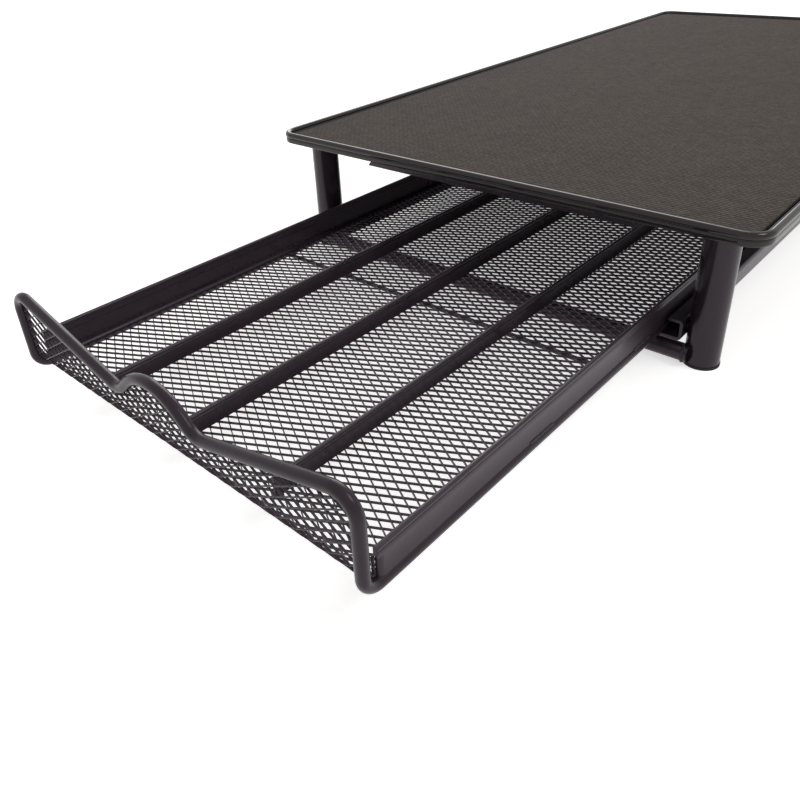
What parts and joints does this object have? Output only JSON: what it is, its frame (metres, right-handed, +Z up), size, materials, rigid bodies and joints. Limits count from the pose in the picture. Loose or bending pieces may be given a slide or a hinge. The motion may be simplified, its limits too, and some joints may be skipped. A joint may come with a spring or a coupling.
{
  "type": "coffee pod drawer",
  "caption": "Low black steel stand with a non-slip top, four round legs and a pull-out wire and mesh drawer whose four lanes hold coffee capsules.",
  "frame": {"origin": "on the table, under the middle of the whole length and width, with the drawer part open as stored", "axes": "+Z up, the drawer opens towards -Y, +X to the right for someone facing the back of the stand from the drawer's front"},
  "size_m": [0.2174, 0.5576, 0.0557],
  "materials": {
    "satin_black_steel": "satin black powder coat with a fine grain",
    "gloss_black_steel": "smooth half-gloss black powder coat",
    "grey_mat": "matt warm dark grey with a fine woven rib",
    "black_rubber": "matt black rubber",
    "bare_wire": "bare drawn steel wire, hidden in the rim",
    "screw_steel": "black passivated steel"
  },
  "bodies": {
    "stand": {"top_tray": "gloss_black_steel", "rim_wire": "bare_wire", "top_mat": "grey_mat", "front_stiffener": "satin_black_steel", "rear_stiffener": "satin_black_steel", "leg_front_left": "satin_black_steel", "leg_front_right": "satin_black_steel", "leg_rear_left": "satin_black_steel", "leg_rear_right": "satin_black_steel", "leg_plates": "satin_black_steel", "foot_cap_front_left": "black_rubber", "foot_cap_front_right": "black_rubber", "foot_cap_rear_left": "black_rubber", "foot_cap_rear_right": "black_rubber", "front_cross_bar": "satin_black_steel", "rear_cross_bar": "satin_black_steel", "guide_rail_left": "satin_black_steel", "guide_rail_right": "satin_black_steel", "rail_screws": "screw_steel"},
    "drawer": {"drawer_wire": "satin_black_steel", "floor_mesh": "satin_black_steel", "front_mesh": "satin_black_steel", "side_strip_left": "satin_black_steel", "side_strip_right": "satin_black_steel", "rear_strip": "satin_black_steel", "divider_left": "satin_black_steel", "divider_middle": "satin_black_steel", "divider_right": "satin_black_steel", "cross_wire_front": "satin_black_steel", "cross_wire_rear": "satin_black_steel", "stop_lugs": "satin_black_steel"}
  },
  "joints": [
    {"name": "drawer_slide", "type": "slide", "parent": "stand", "child": "drawer", "axis": [0, -1, 0], "range_m": [-0.1446, 0.158]}
  ]
}
